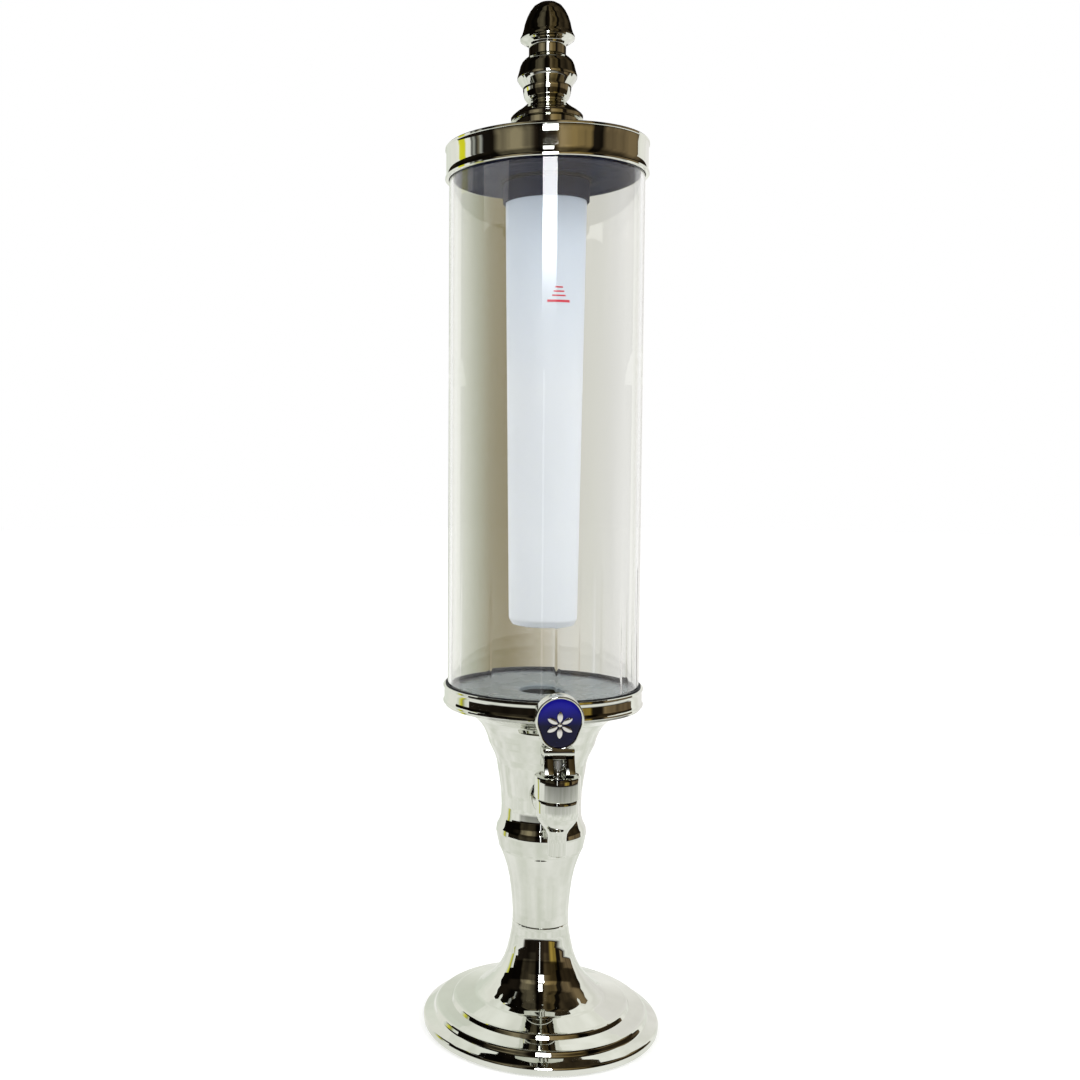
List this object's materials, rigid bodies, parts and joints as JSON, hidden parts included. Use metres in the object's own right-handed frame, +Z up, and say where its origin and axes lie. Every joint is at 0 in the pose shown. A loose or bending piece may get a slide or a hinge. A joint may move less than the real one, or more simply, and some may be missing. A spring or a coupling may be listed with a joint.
{
  "type": "beer tower",
  "caption": "Table-top drink dispenser: a clear tank with an ice tube and a finial lid, on a chrome funnel, stem and foot, with a lever tap.",
  "frame": {"origin": "on the table, under the tower's axis, at the middle of the foot pad's underside", "axes": "+Z up along the tower's axis, the tap looks to -Y, +X to the right seen from the tap's side"},
  "size_m": [0.156, 0.16, 0.667],
  "materials": {
    "chrome": "mirror polished plate",
    "clear_acrylic": "clear, polished",
    "frosted_acrylic": "frosted white",
    "slate_plastic": "moulded, satin",
    "black_rubber": "matt",
    "cast_iron": "painted",
    "steel": "bright zinc",
    "blue_enamel": "glossy enamel",
    "silver_trim": "polished"
  },
  "bodies": {
    "stand": {"foot_pad": "black_rubber", "base_foot": "chrome", "base_weight": "cast_iron", "base_screws": "steel", "tie_rod": "steel", "tie_rod_nut": "steel", "tie_rod_washer": "steel", "stem_column": "chrome", "funnel": "chrome", "collar_ring": "chrome", "collar_seal": "black_rubber", "tube_gasket": "black_rubber", "tank_floor": "slate_plastic", "floor_seal": "black_rubber", "clear_tube": "clear_acrylic", "tap_body": "chrome", "tap_nozzle": "chrome", "tap_outer_washer": "black_rubber", "tap_inner_washer": "black_rubber", "tap_nut": "steel", "tap_bonnet": "chrome", "stem_seal": "black_rubber"},
    "plunger": {"plunger_stem": "steel", "seat_cup": "black_rubber", "tap_spring": "steel"},
    "lever": {"tap_lever": "chrome", "lever_pin": "steel", "lever_badge": "blue_enamel", "badge_boss": "silver_trim"},
    "lid": {"lid_cap": "chrome", "lid_plug": "slate_plastic", "lid_seal": "black_rubber", "finial_base": "chrome", "finial_tip": "chrome", "finial_screw": "steel", "finial_washer": "steel"},
    "ice_tube": {"ice_tube": "frosted_acrylic", "ice_tube_seal": "black_rubber"}
  },
  "joints": [
    {"name": "lid_lift", "type": "slide", "parent": "stand", "child": "lid", "axis": [0, 0, 1], "range_m": [0, 0.32]},
    {"name": "ice_tube_twist", "type": "hinge", "parent": "lid", "child": "ice_tube", "pos_m": [0, 0, 0.555], "axis": [0, 0, 1], "range_deg": [0, 90]},
    {"name": "plunger_lift", "type": "slide", "parent": "stand", "child": "plunger", "axis": [0, 0, 1], "range_m": [0, 0.004], "stiffness_N_per_m": 400, "springref_m": -0.006, "deforming": ["tap_spring"]},
    {"name": "lever_tilt", "type": "hinge", "parent": "plunger", "child": "lever", "pos_m": [0, -0.068, 0.1914], "axis": [1, 0, 0], "range_deg": [0, 40]}
  ],
  "couplings": [
    {"joint": "lever_tilt", "follows": "plunger_lift", "rad_per_m": 174.53}
  ]
}
